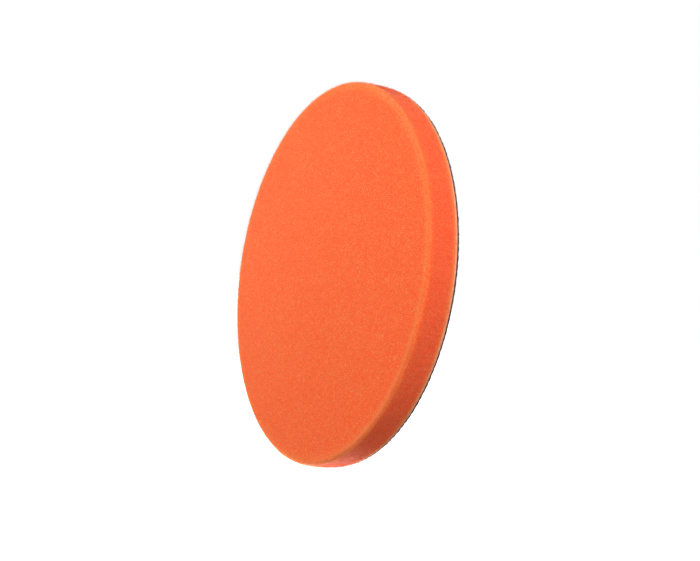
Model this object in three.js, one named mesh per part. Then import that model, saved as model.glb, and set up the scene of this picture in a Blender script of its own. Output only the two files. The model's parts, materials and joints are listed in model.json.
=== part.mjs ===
// A thin foam polishing pad for a rotary or orbital polisher, in millimetres, +Z up.
//
// The pad stands on edge: its axis runs along Y, its working face looks to -Y and its
// loop face, which grips the hook disc of the polisher's backing plate, looks to +Y.
// The origin is the centre of the loop face. From there the layers follow each other
// to -Y: loop pile, knitted ground fabric, adhesive film and foam disc.
// Every layer is a flat round disc, so each one is a profile turned about the Y axis.

import { Group, LatheGeometry, Mesh, MeshStandardMaterial, Path, Vector2 } from "three";

// Driving dimensions
const FACE_RADIUS = 75.0; // working face, out to where its edge would be sharp
const FOAM_THICKNESS = 10.7;
const BACK_FLARE = 0.4; // how much wider the foam is at the glued side than at the face
const WALL_HOLLOW = 0.1; // die-cut foam springs back to a slightly hollow wall
const FACE_EDGE_RADIUS = 1.4; // the working face's rim is softened by the cut
const BACK_EDGE_RADIUS = 0.3;

const ADHESIVE_THICKNESS = 0.8;
const ADHESIVE_INSET = 0.1; // from the foam's glued rim
const GROUND_THICKNESS = 0.4;
const GROUND_INSET = 0.4;
const PILE_HEIGHT = 0.6;
const PILE_INSET = 0.5;
const PILE_SHOULDER = 0.2; // the outermost loops lean over the rim

// Facets
const TURN_SEGMENTS = 96;
const ARC_STEPS = 5;
const WALL_STEPS = 6;

// Places along Y, worked out from the loop face
const PILE_FACE_Y = 0;
const GROUND_FACE_Y = PILE_FACE_Y - PILE_HEIGHT;
const ADHESIVE_FACE_Y = GROUND_FACE_Y - GROUND_THICKNESS;
const FOAM_BACK_Y = ADHESIVE_FACE_Y - ADHESIVE_THICKNESS;
const FOAM_FACE_Y = FOAM_BACK_Y - FOAM_THICKNESS;

const FOAM_BACK_RADIUS = FACE_RADIUS + BACK_FLARE;

// Colour, roughness and metalness of each layer
const FINISHES = {
  foam: { color: 0xfb6c3d, roughness: 0.95, metalness: 0 },
  adhesive: { color: 0xf6c9b2, roughness: 0.5, metalness: 0 },
  ground: { color: 0x2a2425, roughness: 0.9, metalness: 0 },
  pile: { color: 0x1d1a1b, roughness: 0.95, metalness: 0 },
};

// The foam's profile: flat face, rounded face edge, hollow wall that flares to the
// back, small back edge, flat back.
function foamProfile() {
  const wallStart = new Vector2(FACE_RADIUS, FOAM_FACE_Y + FACE_EDGE_RADIUS);
  const wallEnd = new Vector2(FOAM_BACK_RADIUS, FOAM_BACK_Y - BACK_EDGE_RADIUS);
  const path = new Path();
  path.moveTo(FACE_RADIUS - FACE_EDGE_RADIUS, FOAM_FACE_Y);
  path.absarc(
    FACE_RADIUS - FACE_EDGE_RADIUS, wallStart.y, FACE_EDGE_RADIUS, -Math.PI / 2, 0, false,
  );
  const edge = path.getSpacedPoints(ARC_STEPS);
  const wall = hollowLine(wallStart, wallEnd, WALL_HOLLOW, WALL_STEPS);
  return [
    new Vector2(0, FOAM_FACE_Y),
    ...edge,
    ...wall,
    new Vector2(FOAM_BACK_RADIUS - BACK_EDGE_RADIUS, FOAM_BACK_Y),
    new Vector2(0, FOAM_BACK_Y),
  ];
}

// Points from start (left out) to end, bowed towards the axis by depth at the middle.
function hollowLine(start, end, depth, steps) {
  const points = [];
  for (let i = 1; i <= steps; i += 1) {
    const t = i / steps;
    const point = new Vector2().lerpVectors(start, end, t);
    point.x -= 4 * depth * t * (1 - t);
    points.push(point);
  }
  return points;
}

// The profile of a plain disc between two places along Y.
function discProfile(radius, lowY, highY) {
  return [
    new Vector2(0, lowY),
    new Vector2(radius, lowY),
    new Vector2(radius, highY),
    new Vector2(0, highY),
  ];
}

// The pile's profile: a disc whose rim leans in towards the loop face.
function pileProfile() {
  const radius = FOAM_BACK_RADIUS - PILE_INSET;
  return [
    new Vector2(0, GROUND_FACE_Y),
    new Vector2(radius, GROUND_FACE_Y),
    new Vector2(radius, PILE_FACE_Y - PILE_SHOULDER),
    new Vector2(radius - PILE_SHOULDER, PILE_FACE_Y),
    new Vector2(0, PILE_FACE_Y),
  ];
}

// One layer of the pad: a named mesh with a finish of its own.
function layer(name, profile, finish) {
  const geometry = new LatheGeometry(profile, TURN_SEGMENTS);
  const mesh = new Mesh(geometry, new MeshStandardMaterial(finish));
  mesh.name = name;
  return mesh;
}

// The whole pad, from the working face to the loop face.
function polishingPad() {
  const adhesive = discProfile(FOAM_BACK_RADIUS - ADHESIVE_INSET, FOAM_BACK_Y, ADHESIVE_FACE_Y);
  const ground = discProfile(FOAM_BACK_RADIUS - GROUND_INSET, ADHESIVE_FACE_Y, GROUND_FACE_Y);
  const pad = new Group();
  pad.add(
    layer("foam_disc", foamProfile(), FINISHES.foam),
    layer("adhesive_film", adhesive, FINISHES.adhesive),
    layer("loop_ground_fabric", ground, FINISHES.ground),
    layer("loop_pile", pileProfile(), FINISHES.pile),
  );
  return pad;
}

export default polishingPad();
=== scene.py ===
"""Looks of a thin foam polishing pad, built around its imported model.

The pad stands on edge with its axis along Y. The working face looks to -Y and the loop
face to +Y. Lengths are in metres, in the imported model's own frame.
"""

import json
import logging
import math
from dataclasses import dataclass, field
from enum import Enum
from typing import Any, Mapping

import bpy
import numpy as np
from mathutils import Matrix, Vector

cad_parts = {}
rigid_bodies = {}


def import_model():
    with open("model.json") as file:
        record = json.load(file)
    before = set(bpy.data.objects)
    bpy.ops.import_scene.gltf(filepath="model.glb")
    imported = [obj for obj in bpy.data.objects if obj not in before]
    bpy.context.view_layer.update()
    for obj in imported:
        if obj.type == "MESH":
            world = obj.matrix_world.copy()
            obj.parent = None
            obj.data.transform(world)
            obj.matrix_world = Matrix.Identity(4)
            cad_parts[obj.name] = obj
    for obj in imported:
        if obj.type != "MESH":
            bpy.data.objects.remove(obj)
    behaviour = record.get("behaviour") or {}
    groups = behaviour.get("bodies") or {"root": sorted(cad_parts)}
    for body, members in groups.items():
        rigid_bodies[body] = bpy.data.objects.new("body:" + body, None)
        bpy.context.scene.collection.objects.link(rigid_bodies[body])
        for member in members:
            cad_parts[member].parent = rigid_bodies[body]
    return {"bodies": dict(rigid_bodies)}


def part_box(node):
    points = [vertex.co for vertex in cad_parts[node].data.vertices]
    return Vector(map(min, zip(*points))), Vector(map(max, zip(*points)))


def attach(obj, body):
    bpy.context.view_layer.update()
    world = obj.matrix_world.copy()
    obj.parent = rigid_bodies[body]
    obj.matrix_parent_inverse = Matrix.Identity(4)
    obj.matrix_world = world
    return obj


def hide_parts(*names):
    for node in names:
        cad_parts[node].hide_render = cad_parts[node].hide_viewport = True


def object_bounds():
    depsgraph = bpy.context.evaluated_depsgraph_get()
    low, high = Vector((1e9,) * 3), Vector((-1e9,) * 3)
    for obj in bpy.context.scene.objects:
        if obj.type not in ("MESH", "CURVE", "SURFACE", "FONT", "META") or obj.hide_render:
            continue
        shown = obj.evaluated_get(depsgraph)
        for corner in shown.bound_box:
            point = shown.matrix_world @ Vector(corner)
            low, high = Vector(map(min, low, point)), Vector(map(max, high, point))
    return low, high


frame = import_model()
CAD_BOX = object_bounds()

LOG = logging.getLogger("polishing_pad")
MM = 0.001
TURN = 2.0 * math.pi
BODY = next(iter(frame["bodies"]))

Tree = bpy.types.NodeTree
Socket = bpy.types.NodeSocket
Material = bpy.types.Material
Piece = bpy.types.Object


class Attribute(str, Enum):
    """Names of the values that a mesh carries for its material.

    CELL is the distance to a bubble's centre, which carries painted shade and highlight,
    FUZZ the torn fibre, WALL how far the die closed the bubbles, which sets the wall's
    streaks and its painted tone, PAINTED_RIM_LIGHT the painted glow and highlight along the rims, and
    TINT how worn the yarn is. Each goes from 0 to 1.
    """

    CELL = "cell"
    FUZZ = "fuzz"
    WALL = "wall"
    PAINTED_RIM_LIGHT = "rim"
    TINT = "tint"


# ---------------------------------------------------------------------------
# Colour, random fields and meshes
# ---------------------------------------------------------------------------


def linear(code: str) -> tuple[float, float, float, float]:
    """Turns an sRGB hex colour into linear light.

    Args:
        code: six hex digits, such as "FB6C3D".

    Returns:
        Red, green, blue and an alpha of 1.
    """
    shares = [int(code[i : i + 2], 16) / 255.0 for i in (0, 2, 4)]
    light = [c / 12.92 if c <= 0.04045 else ((c + 0.055) / 1.055) ** 2.4 for c in shares]
    return (light[0], light[1], light[2], 1.0)


def hashed(cells: np.ndarray, salt: int) -> np.ndarray:
    """Gives each whole-number cell a fixed random value.

    The three coordinates are multiplied by large odd numbers and added, and the sum's
    bits are then folded over and multiplied twice.

    Args:
        cells: whole numbers, shape (n, 3).
        salt: a number that picks one of many such fields.

    Returns:
        Values from 0 to 1, shape (n,).
    """
    weights = np.array([0x9E3779B97F4A7C15, 0xC2B2AE3D27D4EB4F, 0x165667B19E3779F9], np.uint64)
    mixed = (cells.astype(np.int64).astype(np.uint64) * weights).sum(axis=1, dtype=np.uint64)
    mixed += np.uint64(salt) * np.uint64(0xD6E8FEB86659FD93)
    for _ in range(2):
        mixed ^= mixed >> np.uint64(32)
        mixed *= np.uint64(0xD6E8FEB86659FD93)
    mixed ^= mixed >> np.uint64(32)
    return (mixed >> np.uint64(11)).astype(float) / float(1 << 53)


@dataclass(frozen=True)
class CellField:
    """Foam bubbles: one centre in each cube of a lattice, moved about inside it.

    Attributes:
        pitch: side of a cube, which is about one bubble's width.
        salt: picks the field.
    """

    pitch: float
    salt: int

    def nearest(self, points: np.ndarray) -> np.ndarray:
        """Distance from each point to its nearest bubble centre, in pitches.

        Args:
            points: places, shape (n, 3).

        Returns:
            Distances, shape (n,).
        """
        scaled = points / self.pitch
        home = np.floor(scaled)
        best = np.full(len(points), np.inf)
        for step in np.ndindex(3, 3, 3):
            cell = home + np.array(step) - 1.0
            centre = cell + np.stack([hashed(cell, self.salt + k) for k in range(3)], axis=1)
            best = np.minimum(best, ((scaled - centre) ** 2).sum(axis=1))
        return np.sqrt(best)


def eased(share: np.ndarray) -> np.ndarray:
    """Cuts values to 0 and 1 and eases them in and out as a cubic between those."""
    cut = np.clip(share, 0.0, 1.0)
    return cut * cut * (3.0 - 2.0 * cut)


def smooth_noise(points: np.ndarray, size: float, salt: int) -> np.ndarray:
    """Soft random lumps: values at the corners of a lattice, blended in between.

    Args:
        points: places, shape (n, 3).
        size: side of a lattice cube, about half the width of a lump.
        salt: picks the field.

    Returns:
        Values from -1 to 1, shape (n,).
    """
    scaled = points / size
    home = np.floor(scaled)
    share = scaled - home
    share = share * share * (3.0 - 2.0 * share)
    total = np.zeros(len(points))
    for corner in np.ndindex(2, 2, 2):
        near = np.where(np.array(corner), share, 1.0 - share).prod(axis=1)
        total += near * hashed(home + np.array(corner), salt)
    return 2.0 * total - 1.0


@dataclass
class Surface:
    """A mesh in the making.

    Attributes:
        points: places, shape (n, 3).
        quads: four-sided faces, as point numbers.
        triangles: three-sided faces, as point numbers.
        values: one number for each point, under an attribute's name.
    """

    points: np.ndarray
    quads: np.ndarray
    triangles: np.ndarray = field(default_factory=lambda: np.empty((0, 3), np.int64))
    values: dict[Attribute, np.ndarray] = field(default_factory=dict)

    def mirrored(self) -> "Surface":
        """The same surface with Y turned round, its faces still pointing outward."""
        turned = self.points * np.array([1.0, -1.0, 1.0])
        return Surface(turned, self.quads[:, ::-1], self.triangles[:, ::-1], self.values)

    def to_object(self, name: str, material: Material) -> Piece:
        """Makes the Blender object, smooth-shaded, with its place in its mesh.

        Args:
            name: the piece's name.
            material: its finish.

        Returns:
            The new object, linked to the scene.
        """
        mesh = bpy.data.meshes.new(name)
        corners = np.concatenate([self.quads.ravel(), self.triangles.ravel()])
        sides = np.repeat([4, 3], [len(self.quads), len(self.triangles)])
        mesh.vertices.add(len(self.points))
        mesh.vertices.foreach_set("co", self.points.astype(np.float32).ravel())
        mesh.loops.add(len(corners))
        mesh.loops.foreach_set("vertex_index", corners.astype(np.int32))
        mesh.polygons.add(len(sides))
        starts = np.concatenate([[0], np.cumsum(sides)[:-1]])
        mesh.polygons.foreach_set("loop_start", starts.astype(np.int32))
        mesh.polygons.foreach_set("use_smooth", np.ones(len(sides), bool))
        for attribute, numbers in self.values.items():
            stored = mesh.attributes.new(attribute.value, "FLOAT", "POINT")
            stored.data.foreach_set("value", numbers.astype(np.float32))
        mesh.update(calc_edges=True)
        mesh.validate()
        mesh.materials.append(material)
        made = bpy.data.objects.new(name, mesh)
        bpy.context.scene.collection.objects.link(made)
        return made


@dataclass(frozen=True)
class Profile:
    """A line from one face of a disc, down its wall, to the other face.

    Attributes:
        radius: distance from the axis at each point.
        depth: distance from the start face at each point, growing to the other face.
    """

    radius: np.ndarray
    depth: np.ndarray

    def normals(self) -> tuple[np.ndarray, np.ndarray]:
        """The outward direction at each point, square to the line.

        Returns:
            Its part along the radius and its part along the depth.
        """
        across, down = np.gradient(self.radius), np.gradient(self.depth)
        length = np.hypot(across, down)
        return down / length, -across / length


def turned_shell(profile: Profile, count: int) -> tuple[Surface, np.ndarray, np.ndarray]:
    """Turns a profile about the axis and closes both ends with a flat fan.

    A point is (radius cos a, depth, radius sin a), at equal steps of the angle a.

    Args:
        profile: the wall, from the start face to the other face.
        count: steps of the angle.

    Returns:
        The closed surface, and the angle and the profile row of each wall point. The
        two fan centres come last among the points and have no angle.
    """
    rows = len(profile.radius)
    angle = np.tile(np.arange(count) * TURN / count, rows)
    row = np.repeat(np.arange(rows), count)
    radius = profile.radius[row]
    wall = np.stack([radius * np.cos(angle), profile.depth[row], radius * np.sin(angle)], axis=1)
    centres = np.array([[0.0, profile.depth[0], 0.0], [0.0, profile.depth[-1], 0.0]])
    first, last = rows * count, rows * count + 1
    here = np.arange(count)
    following = (here + 1) % count
    end = (rows - 1) * count
    fans = np.concatenate(
        [
            np.stack([here, following, np.full(count, first)], axis=1),
            np.stack([end + here, np.full(count, last), end + following], axis=1),
        ]
    )
    surface = Surface(np.concatenate([wall, centres]), wall_quads(rows, count), fans)
    return surface, angle, row


def wall_quads(rows: int, count: int, start: int = 0) -> np.ndarray:
    """Four-sided faces between rings of points, each ring following the last.

    Args:
        rows: how many rings there are.
        count: points in each ring.
        start: number of the first ring's first point.

    Returns:
        Point numbers, shape ((rows - 1) * count, 4), facing away from the axis.
    """
    here = np.arange(count)
    following = (here + 1) % count
    ring = start + np.arange(rows - 1)[:, None] * count
    quads = np.stack([ring + here, ring + count + here, ring + count + following, ring + following], -1)
    return quads.reshape(-1, 4)


@dataclass(frozen=True)
class DiscGrid:
    """A round face made of even four-sided cells, with no pole at its middle.

    A square grid is drawn out to a circle: the square ring at distance r from the
    middle becomes the circle of radius r, with its points at equal angles.

    Attributes:
        rings: how many rings of cells there are.
    """

    rings: int

    def places(self) -> tuple[np.ndarray, np.ndarray]:
        """Where the grid's points lie, row by row.

        Returns:
            The radius of each, from 0 to 1, and its angle.
        """
        steps = np.arange(-self.rings, self.rings + 1) / self.rings
        a, b = (grid.ravel() for grid in np.meshgrid(steps, steps, indexing="xy"))
        sideways = np.abs(a) >= np.abs(b)
        reach = np.where(sideways, a, b)
        safe = np.where(reach == 0.0, 1.0, reach)
        eighth = TURN / 8.0
        angle = np.where(sideways, eighth * b / safe, 2.0 * eighth - eighth * a / safe)
        return np.abs(reach), np.where(reach < 0.0, angle + TURN / 2.0, angle)

    def quads(self) -> np.ndarray:
        """The grid's cells, facing -Y when it lies in X and Z.

        Returns:
            Point numbers, shape (n, 4).
        """
        side = 2 * self.rings + 1
        corner = (np.arange(side - 1)[:, None] * side + np.arange(side - 1)).ravel()
        return np.stack([corner, corner + 1, corner + side + 1, corner + side], axis=1)

    def edge(self) -> np.ndarray:
        """The points on the outer ring, in the order of their angle.

        Returns:
            Point numbers, shape (n,).
        """
        side = 2 * self.rings + 1
        run = np.arange(side - 1)
        top = side * (side - 1)
        right = run * side + side - 1
        upper = top + side - 1 - run
        left = top - run * side
        return np.concatenate([right, upper, left, run])


def grid_shell(profile: Profile, grid: DiscGrid) -> tuple[Surface, np.ndarray, np.ndarray]:
    """Closes a turned wall with a fine grid on its start face and a fan on the other.

    Args:
        profile: the wall; its first point is the edge of the start face.
        grid: the start face.

    Returns:
        The closed surface, and the angle and the profile row of each point. Grid
        points are in row 0, and the fan's centre comes last and is in the last row.
    """
    share, grid_angle = grid.places()
    edge = grid.edge()
    count, rows = len(edge), len(profile.radius)
    wall_angle = np.tile(grid_angle[edge], rows - 1)
    wall_row = np.repeat(np.arange(1, rows), count)
    angle = np.concatenate([grid_angle, wall_angle, [0.0]])
    row = np.concatenate([np.zeros(len(share), int), wall_row, [rows - 1]])
    radius = profile.radius[row]
    radius[: len(share)] *= share
    radius[-1] = 0.0
    points = np.stack([radius * np.cos(angle), profile.depth[row], radius * np.sin(angle)], axis=1)
    ring = np.concatenate([edge[None], len(share) + np.arange((rows - 1) * count).reshape(-1, count)])
    following = np.roll(ring, -1, axis=1)
    wall = np.stack([ring[:-1], ring[1:], following[1:], following[:-1]], axis=-1).reshape(-1, 4)
    fan = np.stack([ring[-1], np.full(count, len(points) - 1), following[-1]], axis=1)
    return Surface(points, np.concatenate([grid.quads(), wall]), fan), angle, row


# ---------------------------------------------------------------------------
# Finishes
# ---------------------------------------------------------------------------


COLOUR = {"data_type": "RGBA"}
SOFT_STEP = {"interpolation_type": "SMOOTHSTEP"}


def add_node(
    tree: Tree,
    kind: str,
    settings: Mapping[str, Any] | None = None,
    inputs: Mapping[str | int, Any] | None = None,
) -> bpy.types.Node:
    """Adds one node to a tree, with its settings and its links.

    Args:
        tree: the material's or world's node tree.
        kind: Blender's name for the node, without "ShaderNode".
        settings: the node's own properties.
        inputs: a value or an output socket for each input, by name or number.

    Returns:
        The new node.
    """
    node = tree.nodes.new("ShaderNode" + kind)
    for name, value in (settings or {}).items():
        setattr(node, name, value)
    for name, value in (inputs or {}).items():
        if isinstance(value, Socket):
            tree.links.new(value, node.inputs[name])
        else:
            node.inputs[name].default_value = value
    return node


def new_material(name: str) -> tuple[Material, Tree]:
    """Makes an empty node material.

    Args:
        name: the material's name.

    Returns:
        The material and its node tree.
    """
    material = bpy.data.materials.new(name)
    material.use_nodes = True
    material.node_tree.nodes.clear()
    return material, material.node_tree


@dataclass(frozen=True)
class DieCutFoam:
    """Open-cell polyurethane foam, cut across its bubbles with a die.

    The cut leaves half bubbles with thin walls between them, so the skin is matt and
    faintly mottled; that grain is drawn as painted shade in each hollow and a painted
    highlight on the struts, and its fine struts give it a pale bloom where it turns away.

    Attributes:
        skin: colour of the cut walls.
        wall: a pinker painted tone down the disc's wall, for the shade and sheen
        that light gives it.
        hollow: colour inside a bubble, a painted shade.
        strut: colour where bubble walls meet, a painted highlight.
        edge: painted glow and highlight along the rims, for light through the thin foam
        and on the rounded rim.
        bloom_tint: colour of the bloom.
        fine_cell: width of the bubbles too fine for the mesh, drawn as coarse as they
            need to be to show.
        fine_depth: how deep those bubbles are.
        fine_relief: share of that depth that the shading shows.
        coarse_share: share of the mesh's own bubbles in the colour.
        hollow_shade_ends: distances from a bubble's centre, in its widths, at which its
            painted shade starts to give way to skin and has given way.
        strut_highlight_ends: the same for skin giving way to the strut's painted highlight.
        patch: size of the faint patches of dye.
        patch_ends: noise values of the darkest and the palest patches.
        patch_depth: how much darker or lighter those are.
        bloom: strength of the bloom where the cut is clean.
        torn_bloom: its strength where torn fibres stand.
        glow_depth: how far light travels inside the foam.
        streak: sides of a streak that the die drags in the wall, along X, Y and Z.
        streak_lean: angle of the streaks to the pad's axis.
        streak_depth: how deep they look where the wall is closed.
    """

    skin: str = "F3612D"
    wall: str = "F36044"
    hollow: str = "F34318"
    strut: str = "F5834D"
    edge: str = "FB9E54"
    bloom_tint: str = "FFE2D6"
    fine_cell: float = 0.38 * MM
    fine_depth: float = 0.01 * MM
    fine_relief: float = 0.6
    coarse_share: float = 0.08
    hollow_shade_ends: tuple[float, float] = (0.15, 0.55)
    strut_highlight_ends: tuple[float, float] = (0.5, 0.85)
    patch: float = 1.6 * MM
    patch_ends: tuple[float, float] = (0.3, 0.7)
    patch_depth: float = 0.03
    bloom: float = 0.02
    torn_bloom: float = 1.0
    glow_depth: float = 1.2 * MM
    streak: tuple[float, float, float] = (0.9 * MM, 4.0 * MM, 0.9 * MM)
    streak_lean: float = 0.35
    streak_depth: float = 1.1 * MM

    def colour(
        self, tree: Tree, place: Socket, cells: Socket, marks: Mapping[Attribute, Socket]
    ) -> Socket:
        """Makes the colour: painted shade in the hollows, skin and painted highlight on the
        struts, then patches, the wall's painted tone and the painted rim glow.

        Args:
            tree: the material's node tree.
            place: the output that gives a point's place.
            cells: the output that gives the distance to a fine bubble's centre.
            marks: the output of each of the mesh's own values.

        Returns:
            The output that holds the colour.
        """
        both = add_node(
            tree, "Mix", {}, {0: self.coarse_share, 2: cells, 3: marks[Attribute.CELL]}
        ).outputs[0]
        # The grain is painted shade, darker towards each bubble's centre, and painted highlight, paler
        # where bubble walls meet.
        colour = linear(self.hollow)
        for (low, high), code in ((self.hollow_shade_ends, self.skin), (self.strut_highlight_ends, self.strut)):
            ends = {"Value": both, "From Min": low, "From Max": high}
            share = add_node(tree, "MapRange", SOFT_STEP, ends).outputs["Result"]
            colour = add_node(tree, "Mix", COLOUR, {0: share, 6: colour, 7: linear(code)}).outputs[2]
        patches = add_node(
            tree,
            "TexNoise",
            {},
            {"Vector": place, "Scale": 1.0 / self.patch, "Detail": 2.0, "Roughness": 0.6},
        )
        shade = add_node(
            tree,
            "MapRange",
            {},
            {
                "Value": patches.outputs["Fac"],
                "From Min": self.patch_ends[0],
                "From Max": self.patch_ends[1],
                "To Min": 1.0 - self.patch_depth,
                "To Max": 1.0 + self.patch_depth,
            },
        )
        colour = add_node(
            tree,
            "Mix",
            COLOUR | {"blend_type": "MULTIPLY"},
            {0: 1.0, 6: colour, 7: shade.outputs["Result"]},
        ).outputs[2]
        # Painted light: a pinker painted tone down the wall for its shade and sheen, and a painted glow
        # and highlight along both rims.
        for mark, code in ((Attribute.WALL, self.wall), (Attribute.PAINTED_RIM_LIGHT, self.edge)):
            mixed = {0: marks[mark], 6: colour, 7: linear(code)}
            colour = add_node(tree, "Mix", COLOUR, mixed).outputs[2]
        return colour

    def relief(self, tree: Tree, place: Socket, cells: Socket, closed: Socket) -> Socket:
        """Makes the relief: dragged streaks on the wall, and fine bubbles all over.

        Args:
            tree: the material's node tree.
            place: the output that gives a point's place.
            cells: the output that gives the distance to a fine bubble's centre.
            closed: the output that says how far the die closed the bubbles.

        Returns:
            The output that holds the direction.
        """
        drawn_out = add_node(
            tree,
            "Mapping",
            {"vector_type": "POINT"},
            {
                "Vector": place,
                "Rotation": (0.0, 0.0, self.streak_lean),
                "Scale": tuple(1.0 / side for side in self.streak),
            },
        )
        streaks = add_node(
            tree, "TexNoise", {}, {"Vector": drawn_out.outputs[0], "Scale": 1.0, "Detail": 2.0}
        )
        dragged = add_node(
            tree,
            "Bump",
            {},
            {"Height": streaks.outputs["Fac"], "Strength": closed, "Distance": self.streak_depth},
        )
        fine = add_node(
            tree,
            "Bump",
            {},
            {
                "Height": cells,
                "Strength": self.fine_relief,
                "Distance": self.fine_depth,
                "Normal": dragged.outputs["Normal"],
            },
        )
        return fine.outputs["Normal"]

    def build(self) -> Material:
        """Makes the material.

        Returns:
            The finished material.
        """
        material, tree = new_material("foam_polyurethane_die_cut")
        place = add_node(tree, "TexCoord").outputs["Object"]
        marks = {
            mark: add_node(tree, "Attribute", {"attribute_name": mark.value}).outputs["Fac"]
            for mark in (Attribute.CELL, Attribute.PAINTED_RIM_LIGHT, Attribute.WALL, Attribute.FUZZ)
        }
        cells = add_node(
            tree,
            "TexVoronoi",
            {"feature": "F1"},
            {"Vector": place, "Scale": 1.0 / self.fine_cell, "Randomness": 1.0},
        ).outputs["Distance"]
        bloom = add_node(
            tree,
            "MapRange",
            {},
            {"Value": marks[Attribute.FUZZ], "To Min": self.bloom, "To Max": self.torn_bloom},
        )
        # Light that sinks in and comes out redder keeps the foam's shadows warm.
        shader = add_node(
            tree,
            "BsdfPrincipled",
            {},
            {
                "Base Color": self.colour(tree, place, cells, marks),
                "Roughness": 0.95,
                "IOR": 1.45,
                "Specular IOR Level": 0.2,
                "Subsurface Weight": 0.6,
                "Subsurface Radius": (1.0, 0.35, 0.2),
                "Subsurface Scale": self.glow_depth,
                "Sheen Weight": bloom.outputs["Result"],
                "Sheen Roughness": 0.2,
                "Sheen Tint": linear(self.bloom_tint),
                "Normal": self.relief(tree, place, cells, marks[Attribute.WALL]),
            },
        )
        add_node(tree, "OutputMaterial", {}, {"Surface": shader.outputs[0]})
        return material


@dataclass(frozen=True)
class BareStrut:
    """A single strut of polyurethane foam.

    It is too thin to hold much of the dye's colour, and light from behind shines
    through it as a yellower orange.

    Attributes:
        name: the material's name.
        pale: colour of the thinnest struts.
        dyed: colour of the thicker ones.
        shining: colour of light that comes through.
        clear: share of the light that comes through.
        bloom_tint: colour of the soft gloss along a strut.
        patch: size of the patches of pale and dyed struts.
        patch_ends: noise values of the palest and the most dyed patches.
    """

    name: str = "foam_polyurethane_torn_strut"
    pale: str = "F88F68"
    dyed: str = "F36B42"
    shining: str = "FFB066"
    clear: float = 0.35
    bloom_tint: str = "FFC0A0"
    patch: float = 2.0 * MM
    patch_ends: tuple[float, float] = (0.35, 0.65)

    def build(self) -> Material:
        """Makes the material.

        Returns:
            The finished material.
        """
        material, tree = new_material(self.name)
        place = add_node(tree, "TexCoord").outputs["Object"]
        patches = add_node(tree, "TexNoise", {}, {"Vector": place, "Scale": 1.0 / self.patch})
        low, high = self.patch_ends
        ends = {"Value": patches.outputs["Fac"], "From Min": low, "From Max": high}
        share = add_node(tree, "MapRange", {}, ends).outputs["Result"]
        mixed = {0: share, 6: linear(self.pale), 7: linear(self.dyed)}
        colour = add_node(tree, "Mix", COLOUR, mixed)
        shader = add_node(
            tree,
            "BsdfPrincipled",
            {},
            {
                "Base Color": colour.outputs[2],
                "Roughness": 0.8,
                "Sheen Weight": 0.2,
                "Sheen Roughness": 0.3,
                "Sheen Tint": linear(self.bloom_tint),
            },
        )
        through = add_node(tree, "BsdfTranslucent", {}, {"Color": linear(self.shining)})
        shares = {0: self.clear, 1: shader.outputs[0], 2: through.outputs[0]}
        strut = add_node(tree, "MixShader", {}, shares)
        add_node(tree, "OutputMaterial", {}, {"Surface": strut.outputs[0]})
        return material


@dataclass(frozen=True)
class HotMeltFilm:
    """Hot-melt laminating film, pressed out a little past the fabric.

    It is a milky plastic that has soaked into the foam, so its edge is a pale,
    uneven line that takes some of the foam's orange.

    Attributes:
        milky: colour of the plain plastic.
        stained: colour where it took on the foam's dye.
        patch: size of the stained patches.
        patch_ends: noise values of the milkiest and the most stained patches.
        ripple: how high its uneven surface is.
    """

    milky: str = "F7A37E"
    stained: str = "F18157"
    patch: float = 1.3 * MM
    patch_ends: tuple[float, float] = (0.35, 0.65)
    ripple: float = 0.1 * MM

    def build(self) -> Material:
        """Makes the material.

        Returns:
            The finished material.
        """
        material, tree = new_material("adhesive_hot_melt_film")
        place = add_node(tree, "TexCoord").outputs["Object"]
        patches = add_node(
            tree, "TexNoise", {}, {"Vector": place, "Scale": 1.0 / self.patch, "Detail": 3.0}
        ).outputs["Fac"]
        low, high = self.patch_ends
        ends = {"Value": patches, "From Min": low, "From Max": high}
        share = add_node(tree, "MapRange", {}, ends).outputs["Result"]
        mixed = {0: share, 6: linear(self.milky), 7: linear(self.stained)}
        colour = add_node(tree, "Mix", COLOUR, mixed)
        ripples = {"Height": patches, "Strength": 0.4, "Distance": self.ripple}
        relief = add_node(tree, "Bump", {}, ripples)
        shader = add_node(
            tree,
            "BsdfPrincipled",
            {},
            {
                "Base Color": colour.outputs[2],
                "Roughness": 0.55,
                "IOR": 1.48,
                "Normal": relief.outputs["Normal"],
            },
        )
        add_node(tree, "OutputMaterial", {}, {"Surface": shader.outputs[0]})
        return material


@dataclass(frozen=True)
class KnittedNylon:
    """Dyed nylon yarn, knitted and then brushed.

    The yarn is near black with a soft grey sheen along each curl.

    Attributes:
        name: the material's name.
        yarn: colour of most of the yarn.
        worn: colour of the yarn that catches light.
        sheen: how strong the bloom is.
        thread: size of the fibres' lumps, drawn as coarse as they need to be to show.
        lump: how high they are.
    """

    name: str
    yarn: str
    worn: str
    sheen: float
    thread: float = 0.25 * MM
    lump: float = 0.05 * MM

    def build(self) -> Material:
        """Makes the material.

        Returns:
            The finished material.
        """
        material, tree = new_material(self.name)
        place = add_node(tree, "TexCoord").outputs["Object"]
        tint = add_node(tree, "Attribute", {"attribute_name": Attribute.TINT.value})
        fibres = add_node(
            tree, "TexNoise", {}, {"Vector": place, "Scale": 1.0 / self.thread, "Detail": 2.0}
        )
        mixed = {0: tint.outputs["Fac"], 6: linear(self.yarn), 7: linear(self.worn)}
        colour = add_node(tree, "Mix", COLOUR, mixed)
        lumps = {"Height": fibres.outputs["Fac"], "Strength": 0.5, "Distance": self.lump}
        relief = add_node(tree, "Bump", {}, lumps)
        shader = add_node(
            tree,
            "BsdfPrincipled",
            {},
            {
                "Base Color": colour.outputs[2],
                "Roughness": 0.7,
                "IOR": 1.53,
                "Sheen Weight": self.sheen,
                "Sheen Roughness": 0.4,
                "Normal": relief.outputs["Normal"],
            },
        )
        add_node(tree, "OutputMaterial", {}, {"Surface": shader.outputs[0]})
        return material


# ---------------------------------------------------------------------------
# The pad's layers
# ---------------------------------------------------------------------------


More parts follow.
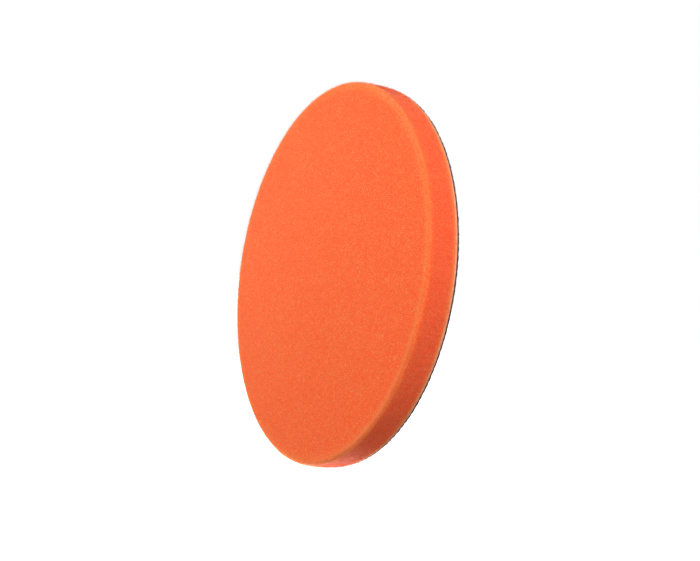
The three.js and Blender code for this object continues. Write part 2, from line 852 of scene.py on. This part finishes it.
@dataclass(frozen=True)
class Span:
    """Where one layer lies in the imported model.

    Attributes:
        radius: distance from the axis to its widest point.
        front: its lowest Y, towards the working face.
        back: its highest Y, towards the loop face.
    """

    radius: float
    front: float
    back: float

    @classmethod
    def of(cls, node: str) -> "Span":
        """Reads a layer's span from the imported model, by its node's name."""
        low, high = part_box(node)
        return cls(radius=high.x, front=low.y, back=high.y)


def put_in(piece: Piece, node: str) -> None:
    """Makes a piece move with the pad and stand for a node.

    Args:
        piece: the finished piece.
        node: the node that it replaces.
    """
    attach(piece, BODY)
    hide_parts(node)


@dataclass
class FoamDisc:
    """The foam: a flat face, a softened rim and a wall that is slightly hollow.

    Attributes:
        span: where the foam lies.
        flare: how much wider the foam is at its back than at its face.
        hollow: how far the wall draws in at half its depth.
        face_edge: radius of the face's rim.
        edge_rows: points along the face's rim.
        back_edge: radius of the glued rim.
        back_rows: points along the glued rim.
        rings: rings of cells across the face.
        wall_step: distance between rows of points down the wall.
        bubbles: the bubbles that the cut goes through.
        bubble_ends: distance from a bubble's centre, in its widths, at which the cut
            bubble ends, and the distance over which it comes to its full depth.
        bubble_depth: how deep a cut bubble is.
        blows: the rare large bubbles.
        blow_reach: radius of one, in their pitches.
        blow_depth: how deep one is.
        sway_size: half the width of the skin's soft waves.
        sway: how deep those are.
        drag_size: half the width of the streaks that the die drags in the wall.
        drag_lean: how far a streak leans round the wall on its way along the axis.
        drag_slimness: a streak's width over its length.
        torn_share: share of torn fibre on the wall where the noise is 0.
        torn_contrast: how much the noise changes that.
        groove: how deep a streak is.
        closed: how far the die closed the wall's bubbles, from 0 to 1, which sets the depth
            of the dragged streaks and the strength of the wall's painted tone.
        closed_by: distance down the wall over which they close.
        painted_rim_glow: strength of the painted glow and highlight at the face's rim.
        rim_reach: how far that goes over the face.
        rim_fall: how far it goes down the wall.
        painted_back_glow: strength of the painted glow at the glued rim.
        back_reach: how far that goes up the wall.
    """

    span: Span = field(default_factory=lambda: Span.of("foam_disc"))
    flare: float = 0.4 * MM
    hollow: float = 0.1 * MM
    face_edge: float = 1.4 * MM
    edge_rows: int = 7
    back_edge: float = 0.3 * MM
    back_rows: int = 4
    rings: int = 250
    wall_step: float = 0.27 * MM
    bubbles: CellField = CellField(0.95 * MM, 11)
    bubble_ends: tuple[float, float] = (0.72, 0.55)
    bubble_depth: float = 0.05 * MM
    blows: CellField = CellField(4.2 * MM, 29)
    blow_reach: float = 0.14
    blow_depth: float = 0.35 * MM
    sway_size: float = 5.0 * MM
    sway: float = 0.10 * MM
    drag_size: float = 0.8 * MM
    drag_lean: float = 0.6
    drag_slimness: float = 0.25
    torn_share: float = 0.45
    torn_contrast: float = 1.3
    groove: float = 0.03 * MM
    closed: float = 0.36
    closed_by: float = 2.0 * MM
    painted_rim_glow: float = 0.22
    rim_reach: float = 1.7 * MM
    rim_fall: float = 1.3 * MM
    painted_back_glow: float = 0.5
    back_reach: float = 0.9 * MM

    def profile(self) -> Profile:
        """The foam's outline from the flat face's edge to the glued face.

        A quarter circle, a line that bows towards the axis as a parabola, and a
        smaller quarter circle.

        Returns:
            The outline.
        """
        thickness = self.span.back - self.span.front
        face_radius = self.span.radius - self.flare
        turn = np.linspace(0.0, TURN / 4.0, self.edge_rows)
        edge_r = face_radius - self.face_edge * (1.0 - np.sin(turn))
        edge_d = self.face_edge * (1.0 - np.cos(turn))
        steps = round((thickness - self.face_edge) / self.wall_step)
        t = np.linspace(0.0, 1.0, steps + 1)[1:]
        wall_r = face_radius + self.flare * t - 4.0 * self.hollow * t * (1.0 - t)
        wall_d = self.face_edge + (thickness - self.face_edge - self.back_edge) * t
        turn = np.linspace(0.0, TURN / 4.0, self.back_rows)[1:]
        back_r = self.span.radius - self.back_edge * (1.0 - np.cos(turn))
        back_d = thickness - self.back_edge * (1.0 - np.sin(turn))
        flat_r = back_r[-1] - np.array([0.4, 1.0]) * MM
        flat_d = np.full(2, thickness)
        return Profile(
            np.concatenate([edge_r, wall_r, back_r, flat_r]),
            np.concatenate([edge_d, wall_d, back_d, flat_d]),
        )

    def surface(self) -> Surface:
        """The whole skin, with its bubbles pressed in along the skin's own direction.

        Returns:
            The closed surface, with its values for the material.
        """
        profile = self.profile()
        surface, angle, row = grid_shell(profile, DiscGrid(self.rings))
        surface.points[:, 1] += self.span.front
        outward, backward = profile.normals()
        backward[0], outward[0] = -1.0, 0.0
        normal = np.stack(
            [outward[row] * np.cos(angle), backward[row], outward[row] * np.sin(angle)], axis=1
        )
        points = surface.points.copy()
        reach = self.bubbles.nearest(points)
        end, slope = self.bubble_ends
        pore = eased((end - reach) / slope)
        blow = eased(1.0 - self.blows.nearest(points) / self.blow_reach)
        depth = self.bubble_depth * pore + self.blow_depth * blow
        depth += self.sway * (0.5 + 0.5 * smooth_noise(points, self.sway_size, 41))
        on_wall = np.clip(outward[row], 0.0, 1.0)
        torn = on_wall * self.torn(points, angle)
        depth += self.groove * torn
        glued = profile.depth[row] > profile.depth[-1] - 0.5 * self.back_edge
        depth[glued] = 0.0
        surface.points -= normal * depth[:, None]
        farthest = 0.95  # hardly a point is farther from its nearest centre, in pitches
        # The cell value carries the painted shade in the hollows and the painted highlight on the
        # struts; the large bubbles take the darkest painted shade.
        surface.values[Attribute.CELL] = np.clip(reach / farthest - blow, 0.0, 1.0)
        radius = np.hypot(points[:, 0], points[:, 2])
        # Painted glow and highlight along both rims, for light through the thin foam.
        surface.values[Attribute.PAINTED_RIM_LIGHT] = self.painted_rim_light(profile.depth[row], radius)
        surface.values[Attribute.FUZZ] = torn
        # The wall's painted tone and the depth of its dragged streaks come in down the wall.
        down = (profile.depth[row] - 0.5 * self.face_edge) / self.closed_by
        surface.values[Attribute.WALL] = self.closed * eased(down)
        return surface

    def torn(self, points: np.ndarray, angle: np.ndarray) -> np.ndarray:
        """How much torn fibre stands on the wall at each place, from 0 to 1.

        The die drags the struts along the axis, so the fibres lie in streaks that are
        long in Y and narrow round the wall.

        Args:
            points: places on the skin, shape (n, 3).
            angle: the angle of each, shape (n,).

        Returns:
            The share, shape (n,).
        """
        around = angle * self.span.radius
        lean = around + self.drag_lean * points[:, 1]
        along = self.drag_slimness * points[:, 1]
        streaks = np.stack([lean, along, np.zeros(len(points))], axis=1)
        noise = smooth_noise(streaks, self.drag_size, 71)
        return eased(self.torn_share + self.torn_contrast * noise)

    def painted_rim_light(self, depth: np.ndarray, radius: np.ndarray) -> np.ndarray:
        """Strength of the painted glow and highlight at each place, from 0 to 1.

        It stands in for light through the thin foam at the rims. It falls off as a bell
        from the face's rim, over the face and down the wall, and as a bell from the glued rim.

        Args:
            depth: distance from the working face's plane.
            radius: distance from the axis.

        Returns:
            The share.
        """
        inward = self.span.radius - self.flare - self.face_edge - radius
        over_face = np.exp(-((np.maximum(inward, 0.0) / self.rim_reach) ** 2))
        down_wall = np.exp(-((depth / self.rim_fall) ** 2))
        thickness = self.span.back - self.span.front
        back = np.exp(-(((depth - thickness) / self.back_reach) ** 2))
        return self.painted_rim_glow * over_face * down_wall + self.painted_back_glow * back * (inward < 0.0)

    def build(self) -> Piece:
        """Makes the foam disc and puts it in the model.

        Returns:
            The piece.
        """
        made = self.surface().to_object("foam_disc_cut_skin", DieCutFoam().build())
        put_in(made, "foam_disc")
        return made


@dataclass
class TornStruts:
    """Loose strut ends that the die tore and dragged out of the foam.

    Seen square on they are specks, and seen along the skin they cover it with a pale
    fringe. The ones on the wall are drawn thicker than real struts, so that they show.

    Attributes:
        foam: the disc that they stand on.
        finish: their finish.
        name: the piece's name.
        rows: the first row of the foam's profile that they stand on and the row after
            the last one; a negative number counts from the profile's end.
        count: how many there are.
        longest: length of the longest one.
        thick: radius of a root.
        drag: how far they lean towards the working face.
        bent: whether each one has a bend at its middle.
        seed: start of the random draws.
        sunk: how deep a root stands in the foam.
        scatter: how far each one's direction strays from the skin's own.
        least_rise: least share of its direction that points out of the skin.
        shortest: least random draw for the length, which grows as its power 1.5.
        bend: share of its length from root to middle.
        curl: how far its tip strays from its direction.
        waist: thickness at the middle, as a share of the root's.
    """

    foam: FoamDisc
    finish: BareStrut
    name: str
    rows: tuple[int, int]
    count: int
    longest: float
    thick: float
    drag: float
    bent: bool
    seed: int
    sunk: float = 0.25 * MM
    scatter: float = 0.45
    least_rise: float = 0.35
    shortest: float = 0.35
    bend: float = 0.55
    curl: float = 0.4
    waist: float = 0.7

    def surface(self) -> Surface:
        """Thin three-sided spikes, each of a root, a bent middle if any, and a tip.

        Returns:
            The spikes, each one closed.
        """
        random = np.random.default_rng(self.seed)
        profile = self.foam.profile()
        outward, backward = profile.normals()
        row = random.choice(np.arange(len(outward))[slice(*self.rows)], self.count)
        angle = random.uniform(0.0, TURN, self.count)
        outwards = np.stack([np.cos(angle), np.zeros(self.count), np.sin(angle)], axis=1)
        axis = np.array([0.0, 1.0, 0.0])
        normal = outwards * outward[row, None] + axis * backward[row, None]
        radius, depth = profile.radius[row, None], profile.depth[row, None]
        jitter = random.uniform(-0.5, 0.5, (self.count, 1)) * self.foam.wall_step
        root = outwards * radius + axis * (self.foam.span.front + depth)
        root += jitter * np.cross(normal, np.cross(axis, outwards))
        way = normal + random.normal(0.0, self.scatter, (self.count, 3)) - self.drag * axis
        rise = (way * normal).sum(axis=1, keepdims=True)
        way += normal * np.clip(self.least_rise - rise, 0.0, None)
        way /= np.linalg.norm(way, axis=1, keepdims=True)
        length = self.longest * random.uniform(self.shortest, 1.0, (self.count, 1)) ** 1.5
        middle = root + self.bend * length * way
        onward = way + self.curl * random.normal(0.0, 1.0, (self.count, 3))
        tip = middle + (1.0 - self.bend) * length * onward
        side = np.cross(way, random.normal(0.0, 1.0, (self.count, 3)))
        side /= np.linalg.norm(side, axis=1, keepdims=True)
        other = np.cross(way, side)
        turn = np.arange(3) * TURN / 3.0
        ring = np.cos(turn)[:, None] * side[:, None] + np.sin(turn)[:, None] * other[:, None]
        levels = [(root - self.sunk * normal)[:, None] + self.thick * ring]
        if self.bent:
            levels.append(middle[:, None] + self.waist * self.thick * ring)
        points = np.concatenate([*levels, tip[:, None]], axis=1).reshape(-1, 3)
        top = 3 * len(levels)
        a, b, c = top - 3, top - 2, top - 1
        first = np.arange(self.count)[:, None, None] * (top + 1)
        ends = np.array([[a, b, top], [b, c, top], [c, a, top], [0, 2, 1]])
        sides = wall_quads(len(levels), 3)[:, ::-1] if self.bent else np.empty((0, 4), np.int64)
        return Surface(points, (first + sides).reshape(-1, 4), (first + ends).reshape(-1, 3))

    def build(self) -> Piece:
        """Makes the strut ends and puts them in the model.

        Returns:
            The piece.
        """
        made = self.surface().to_object(self.name, self.finish.build())
        put_in(made, "foam_disc")
        return made


def wall_struts(foam: FoamDisc) -> TornStruts:
    """The ends torn out of the wall, which lean towards the working face.

    Args:
        foam: the disc that they stand on.

    Returns:
        The strut ends, from under the face's rim down to the glued rim.
    """
    return TornStruts(
        foam,
        finish=BareStrut(),
        name="foam_torn_struts",
        rows=(foam.edge_rows, -foam.back_rows - 1),
        count=14000,
        longest=0.95 * MM,
        thick=0.045 * MM,
        drag=1.1,
        bent=True,
        seed=19,
    )


def rim_struts(foam: FoamDisc) -> TornStruts:
    """The finer, paler ends round the face's rim, which light shines through.

    Args:
        foam: the disc that they stand on.

    Returns:
        The strut ends.
    """
    finish = BareStrut(
        name="foam_polyurethane_fine_strut",
        pale="FFC692",
        dyed="FC9A60",
        shining="FFC070",
        clear=0.3,
    )
    return TornStruts(
        foam,
        finish=finish,
        name="foam_rim_fuzz",
        rows=(0, 5),
        count=13000,
        longest=1.1 * MM,
        thick=0.026 * MM,
        drag=0.0,
        bent=False,
        seed=23,
    )


@dataclass
class AdhesiveFilm:
    """The laminating film between foam and fabric, with its pressed-out edge.

    Attributes:
        span: where the film lies.
        count: points round its rim.
        edge_rows: points across its rim.
        bulge: how far the rim is pressed out between foam and fabric.
        wander: how far the rim goes in and out round the pad.
        wander_size: half the width of one such wave.
    """

    span: Span = field(default_factory=lambda: Span.of("adhesive_film"))
    count: int = 1500
    edge_rows: int = 7
    bulge: float = 0.15 * MM
    wander: float = 0.12 * MM
    wander_size: float = 1.4 * MM

    def build(self) -> Piece:
        """Makes the film: a disc whose rim bulges as half a circle and wanders.

        Returns:
            The piece.
        """
        thickness = self.span.back - self.span.front
        turn = np.linspace(0.0, TURN / 2.0, self.edge_rows)
        radius = self.span.radius - self.bulge + self.bulge * np.sin(turn)
        profile = Profile(radius, thickness * (1.0 - np.cos(turn)) / 2.0)
        surface, angle, _ = turned_shell(profile, self.count)
        surface.points[:, 1] += self.span.front
        wall = surface.points[: len(angle)]
        around = np.stack([np.cos(angle), np.sin(angle)], axis=1)
        loose = np.abs(wall[:, 1] - (self.span.front + self.span.back) / 2.0) < 0.45 * thickness
        push = self.wander * smooth_noise(wall, self.wander_size, 53) * loose
        wall[:, [0, 2]] += around * (push - 0.5 * self.wander)[:, None]
        made = surface.to_object("adhesive_film_edge", HotMeltFilm().build())
        put_in(made, "adhesive_film")
        return made


@dataclass
class LoopFabric:
    """The loop fabric: a knitted ground with brushed loops standing on it.

    Attributes:
        ground: where the ground lies.
        pile: where the loops stand.
        ground_finish: finish of the knit.
        loop_finish: finish of the brushed loops.
        rings: rings of cells across the ground.
        reach_in: how far the knit's uneven back reaches in among the loops.
        proud: how far the cut edge stands out before it is frayed.
        stitches: how many rows of stitches the cut edge goes through.
        scallop: how deep the edge draws in between two rows.
        fray: how far its loose fibres stray.
        fray_size: half the width of a tuft of them.
        swell: how high the knit's soft lumps are.
        swell_size: half the width of a lump.
        gauge: distance between neighbouring loops in the knit.
        stray: how far a loop stands from its place, in gauges.
        rim_gauge: distance between the loops along the cut edge.
        rim_inset: least and greatest distance of those from the pile's rim, in mm.
        clear: distance of all the others from it.
        yarn: radius of a loop's yarn, drawn as coarse as it needs to show.
        widths: narrowest and widest loop, from foot to foot, in mm.
        lowest: height of the lowest loop, as a share of the highest.
        nap: how far the tops lean the way that the pile is brushed.
        brushed_size: half the width of an area that is brushed one way.
        foot: how deep a loop's feet stand in the ground.
        segments: steps along one loop.
        sides: steps round its yarn.
        parts: how many pieces the loops are split into.
        seed: start of the random draws.
    """

    ground: Span = field(default_factory=lambda: Span.of("loop_ground_fabric"))
    pile: Span = field(default_factory=lambda: Span.of("loop_pile"))
    ground_finish: KnittedNylon = KnittedNylon("fabric_nylon_knitted_ground", "151113", "2A2427", 0.04)
    loop_finish: KnittedNylon = KnittedNylon("fabric_nylon_brushed_loops", "1F1B1D", "6E6569", 0.35)
    rings: int = 145
    reach_in: float = 0.3 * MM
    proud: float = 0.15 * MM
    stitches: int = 168
    scallop: float = 0.14 * MM
    fray: float = 0.14 * MM
    fray_size: float = 0.9 * MM
    swell: float = 0.08 * MM
    swell_size: float = 2.2 * MM
    gauge: float = 0.98 * MM
    stray: float = 0.38
    rim_gauge: float = 0.5 * MM
    rim_inset: tuple[float, float] = (0.3, 0.5)
    clear: float = 0.35 * MM
    yarn: float = 0.1 * MM
    widths: tuple[float, float] = (0.5, 1.1)
    lowest: float = 0.60
    nap: float = 0.22 * MM
    brushed_size: float = 14.0 * MM
    foot: float = 0.12 * MM
    segments: int = 6
    sides: int = 3
    parts: int = 4
    seed: int = 7

    def build_ground(self) -> Piece:
        """Makes the knitted ground: a thin disc with a scalloped cut edge.

        The rim goes in and out as a wave, one for each row of stitches that the cut
        goes through, and as a finer noise. The back swells softly with the knit.

        Returns:
            The piece.
        """
        thickness = self.ground.back - self.ground.front + self.reach_in
        depth = np.linspace(0.0, thickness, 5)
        profile = Profile(np.full(5, self.ground.radius + self.proud), depth)
        surface, angle, row = grid_shell(profile, DiscGrid(self.rings))
        points = surface.points
        points[:, 1] -= self.ground.back + self.reach_in
        radius = np.hypot(points[:, 0], points[:, 2])
        cut_edge = eased((radius - self.ground.radius + 1.0 * MM) / MM)
        wave = 0.5 + 0.5 * np.sin(angle * self.stitches + 2.0 * smooth_noise(points, 9.0 * MM, 61))
        cut = self.scallop * wave + self.fray * smooth_noise(points, self.fray_size, 67)
        pull = (cut + 0.06 * MM) * cut_edge / np.maximum(radius, MM)
        points[:, [0, 2]] *= 1.0 - pull[:, None]
        lumps = 0.5 + 0.5 * smooth_noise(points, self.swell_size, 83)
        points[row == 0, 1] += self.swell * lumps[row == 0]
        surface.values[Attribute.TINT] = 0.3 * lumps
        made = surface.mirrored().to_object("loop_ground_knit", self.ground_finish.build())
        put_in(made, "loop_ground_fabric")
        return made

    def roots(self, random: np.random.Generator) -> np.ndarray:
        """Where the loops stand: staggered rows of stitches, and the rim.

        Args:
            random: the source of each loop's own place.

        Returns:
            Places in X and Z, shape (n, 2).
        """
        reach = self.pile.radius - self.clear
        lines = np.arange(-reach, reach, self.gauge)
        x, z = (grid.ravel() for grid in np.meshgrid(lines, lines))
        shifted = x + 0.5 * self.gauge * (np.arange(len(x)) // len(lines) % 2)
        places = np.stack([shifted, z], axis=1)
        places += random.uniform(-self.stray, self.stray, places.shape) * self.gauge
        inner = places[np.hypot(places[:, 0], places[:, 1]) < reach]
        count = round(TURN * self.pile.radius / self.rim_gauge)
        angle = (np.arange(count) + random.uniform(-0.4, 0.4, count)) * TURN / count
        radius = self.pile.radius - random.uniform(*self.rim_inset, count) * MM
        rim = np.stack([radius * np.cos(angle), radius * np.sin(angle)], axis=1)
        return np.concatenate([inner, rim])

    def loops(self, places: np.ndarray, random: np.random.Generator) -> Surface:
        """One surface of many small loops.

        A loop's middle line is an arch: across it goes as a cosine, up it goes as a
        sine, and the top leans over. A ring of points goes round that line.

        Args:
            places: where each loop stands, shape (n, 2).
            random: the source of each loop's own size and direction.

        Returns:
            The loops, each closed at both ends.
        """
        n, rings = len(places), self.segments + 1
        s = np.linspace(0.0, 1.0, rings)[None, :, None]
        flat = np.stack([places[:, 0], np.zeros(n), places[:, 1]], axis=1)
        brushed = 0.4 + 1.4 * smooth_noise(flat, self.brushed_size, 91)
        heading = brushed + random.normal(0.0, 0.9, n)
        across = np.stack([np.cos(heading), np.zeros(n), np.sin(heading)], axis=1)[:, None]
        span = random.uniform(*self.widths, (n, 1, 1)) * MM
        tallest = self.pile.back - self.pile.front - self.yarn
        tall = random.uniform(self.lowest, 1.0, (n, 1, 1)) * tallest
        with_nap = np.stack([-np.sin(brushed), np.zeros(n), np.cos(brushed)], axis=1)[:, None]
        lean = random.normal(0.0, 0.2, (n, 1, 3)) * MM + self.nap * with_nap
        lean[..., 1] = 0.0
        distance = np.linalg.norm(places, axis=1, keepdims=True)
        out = places / np.maximum(distance, MM)
        at_edge = eased((distance - self.pile.radius + 1.2 * MM) / MM)
        lean[:, 0] *= 1.0 - at_edge
        lean[:, 0, [0, 2]] += out * (at_edge * 0.08 * MM)
        up = np.array([0.0, 1.0, 0.0])
        arch = np.sin(math.pi * s)
        root = np.stack([places[:, 0], np.full(n, self.pile.front), places[:, 1]], axis=1)[:, None]
        line = root - across * span * 0.5 * np.cos(math.pi * s) + up * tall * arch + lean * arch**2
        line[:, [0, -1], 1] -= self.foot
        along = np.gradient(line, axis=1)
        along /= np.linalg.norm(along, axis=2, keepdims=True)
        side = np.cross(along, np.cross(across, up))
        side /= np.linalg.norm(side, axis=2, keepdims=True)
        other = np.cross(along, side)
        turn = (np.arange(self.sides) * TURN / self.sides)[:, None]
        ring = np.cos(turn) * side[:, :, None] + np.sin(turn) * other[:, :, None]
        points = (line[:, :, None] + self.yarn * ring).reshape(-1, 3)
        each = rings * self.sides
        quads = wall_quads(rings, self.sides)[:, ::-1]
        caps = np.array([[0, 2, 1], [each - 3, each - 2, each - 1]])[:, ::-1]
        first = np.arange(n)[:, None, None] * each
        surface = Surface(points, (first + quads).reshape(-1, 4), (first + caps).reshape(-1, 3))
        tint = random.uniform(0.0, 1.0, n) ** 2
        surface.values[Attribute.TINT] = np.repeat(tint * (1.0 - 0.7 * at_edge[:, 0]), each)
        return surface

    def build_pile(self) -> list[Piece]:
        """Makes the loops, in as many pieces as keep each one light.

        Returns:
            The pieces.
        """
        random = np.random.default_rng(self.seed)
        places = self.roots(random)
        finish = self.loop_finish.build()
        order = np.arctan2(places[:, 1], places[:, 0])
        made = []
        for part in range(self.parts):
            low = -math.pi + part * TURN / self.parts
            mine = places[(order >= low) & (order < low + TURN / self.parts)]
            piece = self.loops(mine, random).to_object(f"loop_pile_{part + 1}", finish)
            put_in(piece, "loop_pile")
            made.append(piece)
        return made

    def build(self, rests_on: Piece) -> list[Piece]:
        """Makes ground and loops.

        Args:
            rests_on: the film that the fabric is glued to; not used.

        Returns:
            The pieces.
        """
        ground = self.build_ground()
        loops = self.build_pile()
        return [ground, *loops]


# ---------------------------------------------------------------------------
# The studio
# ---------------------------------------------------------------------------


@dataclass(frozen=True)
class SoftBox:
    """A round soft lamp that looks at the pad's centre.

    Attributes:
        name: the lamp's name.
        side: the direction from the pad to the lamp.
        distance: how far away it is.
        size: its diameter.
        light: brightness that it gives a white card at the pad's centre, facing it.
    """

    name: str
    side: tuple[float, float, float]
    distance: float
    size: float
    light: float

    def build(self, target: Vector) -> None:
        """Makes the lamp.

        A round lamp of power P gives a card at distance d, facing it, P / (pi d)^2 of
        the light that a white surround gives it, less for a lamp that is wide for its
        distance: d^2 + (size / 2)^2 stands in for d^2.

        Args:
            target: where it points.
        """
        data = bpy.data.lights.new(self.name, "AREA")
        data.shape, data.size = "DISK", self.size
        data.energy = self.light * math.pi**2 * (self.distance**2 + self.size**2 / 4.0)
        place = target + Vector(self.side).normalized() * self.distance
        turn = (target - place).to_track_quat("-Z", "Y").to_matrix().to_4x4()
        lamp = bpy.data.objects.new(self.name, data)
        lamp.matrix_world = Matrix.Translation(place) @ turn
        lamp.visible_camera = False
        bpy.context.scene.collection.objects.link(lamp)


@dataclass(frozen=True)
class Studio:
    """A pale floor, soft light from above and a camera level with the pad.

    Attributes:
        lens: focal length in millimetres.
        sensor: width of the camera's sensor in millimetres.
        off_axis: angle between the pad's axis and the line of sight, in degrees.
        roll: how far the camera leans to its left, in degrees.
        distance: from the lens to the glued face's centre, in face radii.
        right: how far that centre lies to the right of the line of sight, the same.
        above: how far it lies above the line of sight, the same.
        bright_side: the side where the surround is brightest; it falls evenly from
            there and is black on the other side.
        brightest: its brightness there.
        floor_radius: radius of the floor.
        floor_glow: how strongly the floor shines, so that it looks evenly pale.
        lamps: the soft lamps. The front one lights the face, the top, right and left
            ones model the wall, and the one at the table's height stands for the light
            that a pale table throws up at the low rim.
    """

    lens: float = 50.0
    sensor: float = 36.0
    off_axis: float = 59.70
    roll: float = 8.415
    distance: float = 5.163
    right: float = -0.0502
    above: float = 0.030
    bright_side: tuple[float, float, float] = (0.94, 0.0, 0.34)
    brightest: float = 0.64
    floor_radius: float = 6.0
    floor_glow: float = 0.95
    lamps: tuple[SoftBox, ...] = (
        SoftBox("studio_front", (0.2, -0.9, 0.35), 0.45, 0.35, 0.40),
        SoftBox("studio_top", (-0.35, -0.5, 0.8), 0.32, 0.30, 0.22),
        SoftBox("studio_right", (0.85, -0.22, 0.45), 0.40, 0.30, 0.42),
        SoftBox("studio_left", (-0.95, -0.25, 0.05), 0.40, 0.30, 0.66),
        SoftBox("studio_table", (-0.30, 0.12, -0.945), 0.132, 0.06, 1.35),
    )

    def build_camera(self, face_radius: float, glued_face: float) -> None:
        """Makes the camera.

        Args:
            face_radius: radius of the working face.
            glued_face: place of the foam's back along Y.
        """
        a, r = math.radians(self.off_axis), math.radians(self.roll)
        back = Vector((math.sin(a), -math.cos(a), 0.0))
        level = Vector((0.0, 0.0, 1.0)).cross(back)
        right = level * math.cos(r) + Vector((0.0, 0.0, 1.0)) * math.sin(r)
        up = back.cross(right)
        seen = (right * self.right + up * self.above - back * self.distance) * face_radius
        place = Vector((0.0, glued_face, 0.0)) - seen
        data = bpy.data.cameras.new("studio_camera")
        data.lens, data.sensor_width = self.lens, self.sensor
        data.clip_start, data.clip_end = 0.01, 20.0
        camera = bpy.data.objects.new("studio_camera", data)
        turn = Matrix((right, up, back)).transposed().to_4x4()
        camera.matrix_world = Matrix.Translation(place) @ turn
        bpy.context.scene.collection.objects.link(camera)
        bpy.context.scene.camera = camera

    def build_floor(self, height: float) -> None:
        """Makes the floor: a wide disc of glowing white acrylic just under the pad.

        Args:
            height: where its top lies along Z.
        """
        material, tree = new_material("floor_white_acrylic")
        shader = add_node(
            tree,
            "BsdfPrincipled",
            {},
            {
                "Base Color": linear("EDEDED"),
                "Roughness": 0.9,
                "Emission Color": linear("FFFFFF"),
                "Emission Strength": self.floor_glow,
            },
        )
        add_node(tree, "OutputMaterial", {}, {"Surface": shader.outputs[0]})
        bpy.ops.mesh.primitive_circle_add(vertices=128, radius=self.floor_radius, fill_type="NGON")
        floor = bpy.context.object
        floor.name = "studio_floor"
        floor.data.transform(Matrix.Translation((0.0, 0.0, height)))
        floor.data.materials.append(material)
        floor.visible_diffuse = False
        floor.visible_glossy = False
        floor.visible_transmission = False
        floor.visible_shadow = False

    def build_world(self) -> None:
        """Makes the soft surround, which is plain white to the camera."""
        world = bpy.data.worlds.new("studio_surround")
        world.use_nodes = True
        tree = world.node_tree
        tree.nodes.clear()
        way = add_node(tree, "TexCoord").outputs["Generated"]
        towards = add_node(
            tree,
            "VectorMath",
            {"operation": "DOT_PRODUCT"},
            {0: way, 1: self.bright_side},
        )
        level = add_node(
            tree,
            "MapRange",
            {},
            {
                "Value": towards.outputs["Value"],
                "From Min": -1.0,
                "From Max": 1.0,
                "To Min": 0.0,
                "To Max": self.brightest,
            },
        )
        white = linear("FFFFFF")
        seen = add_node(tree, "LightPath").outputs["Is Camera Ray"]
        soft = add_node(tree, "Background", {}, {"Color": white, "Strength": level.outputs["Result"]})
        plain = add_node(tree, "Background", {}, {"Color": white, "Strength": 1.0})
        mixed = add_node(tree, "MixShader", {}, {0: seen, 1: soft.outputs[0], 2: plain.outputs[0]})
        add_node(tree, "OutputWorld", {}, {"Surface": mixed.outputs[0]})
        bpy.context.scene.world = world

    def build(self, foam: FoamDisc) -> None:
        """Makes floor, light and camera around the pad.

        Args:
            foam: the foam disc, which the camera looks at.
        """
        low, high = CAD_BOX
        self.build_camera(foam.span.radius - foam.flare, foam.span.back)
        self.build_floor(low.z)
        self.build_world()
        for lamp in self.lamps:
            lamp.build((low + high) / 2.0)
        view = bpy.context.scene.view_settings
        view.view_transform, view.look = "Standard", "None"


def report(piece: Piece) -> None:
    """Logs a finished piece's name and size."""
    LOG.info("%s: %d points", piece.name, len(piece.data.vertices))


def main() -> None:
    """Builds the pad from its working face to its loop face, then the studio."""
    logging.basicConfig(level=logging.INFO, format="%(message)s")
    foam = FoamDisc()
    report(foam.build())
    for struts in (wall_struts(foam), rim_struts(foam)):
        report(struts.build())
    film = AdhesiveFilm().build()
    report(film)
    for piece in LoopFabric().build(film):
        report(piece)
    Studio().build(foam)


if __name__ == "__main__":
    main()
